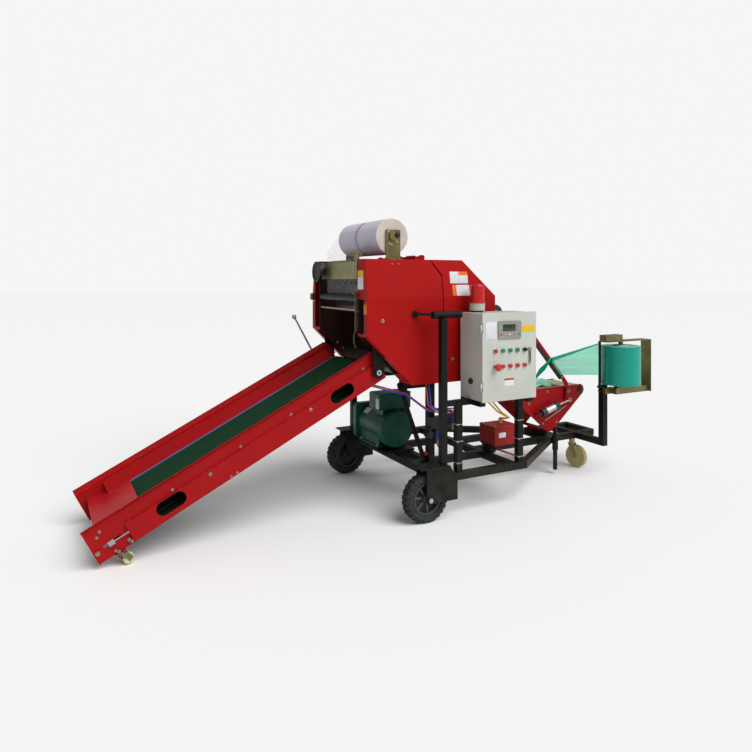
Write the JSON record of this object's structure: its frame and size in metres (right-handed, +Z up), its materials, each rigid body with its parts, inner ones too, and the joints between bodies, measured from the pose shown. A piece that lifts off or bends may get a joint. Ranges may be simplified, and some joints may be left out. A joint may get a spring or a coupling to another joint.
{
  "type": "mini round baler with feed conveyor and film wrapper",
  "caption": "Small round baler with a tilting feed conveyor, net binding, opening roller chamber and a turntable film wrapper on a wheeled frame.",
  "frame": {"origin": "on the floor under the middle of the machine", "axes": "+X from the feed conveyor to the film stand, +Y away from the control cabinet, +Z up"},
  "size_m": [3.4634, 1.2094, 1.637],
  "materials": {
    "cover_red": "semi-gloss red powder coat, lightly scuffed",
    "conveyor_red": "semi-gloss red enamel",
    "frame_black": "satin black paint",
    "motor_green": "dark green enamel on cast ribs",
    "cabinet_grey": "fine-textured light grey coat",
    "box_red": "semi-gloss red",
    "steel": "turned and ground steel",
    "roller_steel": "rolled steel tube, lightly worn",
    "zinc": "yellow-passivated zinc plate",
    "aluminium": "anodised cylinder tube",
    "belt_green": "matt dark green belting with fine ribs",
    "belt_cream": "cream wrapping belt",
    "tyre_black": "dusty black rubber",
    "hub_grey": "dark grey cast hub",
    "caster_cream": "cream nylon tread",
    "caster_gold": "amber polyurethane tread",
    "black_plastic": "black moulded plastic",
    "controls": "coloured push buttons",
    "lens_red": "clear red lens on a cream base",
    "net_white": "knitted white netting",
    "film_green": "stretch film wound on its core",
    "film_web_green": "translucent pale green stretch film",
    "hose_red": "glossy red air hose",
    "hose_blue": "glossy blue air hose",
    "cable_yellow": "yellow sheathed cable",
    "chamber_dark": "dark brown primer, soiled by crop"
  },
  "bodies": {
    "machine": {"base_frame": "frame_black", "wheel_forks": "frame_black", "masts": "frame_black", "cabinet_stand": "frame_black", "chamber_walls": "chamber_dark", "chamber_rollers": "roller_steel", "front_covers": "cover_red", "top_cover": "cover_red", "mouth_channel": "zinc", "net_feed_rollers": "black_plastic", "hand_wheel": "black_plastic", "net_brackets": "zinc", "net_web": "net_white", "conveyor_hangers": "frame_black", "drive_motor": "motor_green", "air_unit": "black_plastic", "drive_box": "box_red", "cabinet_body": "cabinet_grey", "beacon": "lens_red", "table_pedestal": "frame_black", "film_post": "frame_black", "film_carriage": "zinc", "mouth_lever": "steel", "air_hoses_red": "hose_red", "air_hoses_blue": "hose_blue", "drive_cables": "cable_yellow", "mouth_trim": "frame_black"},
    "wheel_near": {"tyre_near": "tyre_black", "hub_near": "hub_grey"},
    "wheel_far": {"tyre_far": "tyre_black", "hub_far": "hub_grey"},
    "rear_swivel": {"rear_caster_fork": "zinc"},
    "rear_wheel": {"rear_caster_wheel": "caster_gold"},
    "conveyor": {"conveyor_sides": "conveyor_red", "conveyor_bed": "frame_black", "conveyor_belt": "belt_green", "conveyor_drums": "steel", "infeed_plate": "conveyor_red", "tail_foot": "conveyor_red"},
    "tail_swivel_near": {"tail_caster_fork_near": "zinc"},
    "tail_wheel_near": {"tail_caster_wheel_near": "caster_cream"},
    "tail_swivel_far": {"tail_caster_fork_far": "zinc"},
    "tail_wheel_far": {"tail_caster_wheel_far": "caster_cream"},
    "gate": {"gate_walls": "chamber_dark", "gate_covers": "cover_red", "gate_panel": "cover_red", "gate_rollers": "roller_steel"},
    "door": {"cabinet_door": "cabinet_grey", "door_controls": "controls"},
    "turntable": {"table_sides": "conveyor_red", "table_rollers": "black_plastic", "table_belts": "belt_cream", "film_web": "film_web_green"},
    "cutter": {"cutter_arm": "conveyor_red"},
    "barrel": {"cutter_barrel": "aluminium"},
    "rod": {"cutter_rod": "steel"},
    "film_roll": {"film_roll": "film_green"},
    "net_roll": {"net_roll": "net_white"},
    "jack": {"jack_leg": "steel"}
  },
  "joints": [
    {"name": "wheel_near_spin", "type": "hinge", "parent": "machine", "child": "wheel_near", "pos_m": [-0.06729, -0.44475, 0.13], "axis": [0, 1, 0], "continuous": true},
    {"name": "wheel_far_spin", "type": "hinge", "parent": "machine", "child": "wheel_far", "pos_m": [-0.06729, 0.54025, 0.13], "axis": [0, 1, 0], "continuous": true},
    {"name": "rear_swivel", "type": "hinge", "parent": "machine", "child": "rear_swivel", "pos_m": [1.38471, -0.05225, 0.196], "axis": [0, 0, 1], "continuous": true},
    {"name": "rear_wheel_spin", "type": "hinge", "parent": "rear_swivel", "child": "rear_wheel", "pos_m": [1.39177, -0.08551, 0.075], "axis": [0.9781, 0.2079, 0], "continuous": true},
    {"name": "conveyor_lift", "type": "hinge", "parent": "machine", "child": "conveyor", "pos_m": [-0.26029, 0.04775, 0.788], "axis": [0, 1, 0], "range_deg": [0, 25]},
    {"name": "tail_swivel_near", "type": "hinge", "parent": "conveyor", "child": "tail_swivel_near", "pos_m": [-1.56035, -0.24625, 0.0654], "axis": [-0.4478, 0, 0.8942], "continuous": true},
    {"name": "tail_wheel_spin_near", "type": "hinge", "parent": "tail_swivel_near", "child": "tail_wheel_near", "pos_m": [-1.5277, -0.23597, 0.02758], "axis": [-0.5748, 0.766, -0.2878], "continuous": true},
    {"name": "tail_swivel_far", "type": "hinge", "parent": "conveyor", "child": "tail_swivel_far", "pos_m": [-1.56035, 0.34175, 0.0654], "axis": [-0.4478, 0, 0.8942], "continuous": true},
    {"name": "tail_wheel_spin_far", "type": "hinge", "parent": "tail_swivel_far", "child": "tail_wheel_far", "pos_m": [-1.52369, 0.34453, 0.02738], "axis": [-0.1553, 0.9848, -0.0778], "continuous": true},
    {"name": "gate_swing", "type": "hinge", "parent": "machine", "child": "gate", "pos_m": [0.06271, 0.04775, 1.42], "axis": [0, -1, 0], "range_deg": [0, 65]},
    {"name": "door_swing", "type": "hinge", "parent": "machine", "child": "door", "pos_m": [0.21771, -0.55925, 0.712], "axis": [0, 0, -1], "range_deg": [0, 110]},
    {"name": "table_turn", "type": "hinge", "parent": "machine", "child": "turntable", "pos_m": [1.14671, 0.04775, 0.272], "axis": [0, 0, 1], "continuous": true, "deforming": ["film_web"]},
    {"name": "cutter_swing", "type": "hinge", "parent": "turntable", "child": "cutter", "pos_m": [1.29271, -0.09625, 0.536], "axis": [0, 1, 0], "range_deg": [0, 28]},
    {"name": "barrel_swing", "type": "hinge", "parent": "turntable", "child": "barrel", "pos_m": [1.01471, -0.13425, 0.408], "axis": [0, 1, 0], "range_deg": [-3.88, 0.3]},
    {"name": "rod_slide", "type": "slide", "parent": "barrel", "child": "rod", "axis": [0.9658, 0, 0.2595], "range_m": [-0.02226, 0.001]},
    {"name": "film_roll_spin", "type": "hinge", "parent": "machine", "child": "film_roll", "pos_m": [1.48671, -0.38225, 0.608], "axis": [0, 0, 1], "continuous": true},
    {"name": "net_roll_spin", "type": "hinge", "parent": "machine", "child": "net_roll", "pos_m": [-0.13129, 0.04775, 1.535], "axis": [0, 1, 0], "continuous": true},
    {"name": "jack_slide", "type": "slide", "parent": "machine", "child": "jack", "axis": [0, 0, 1], "range_m": [-0.028, 0.02]}
  ],
  "couplings": [
    {"joint": "barrel_swing", "follows": "cutter_swing", "ratio": -0.128},
    {"joint": "rod_slide", "follows": "cutter_swing", "m_per_rad": -0.0435}
  ]
}
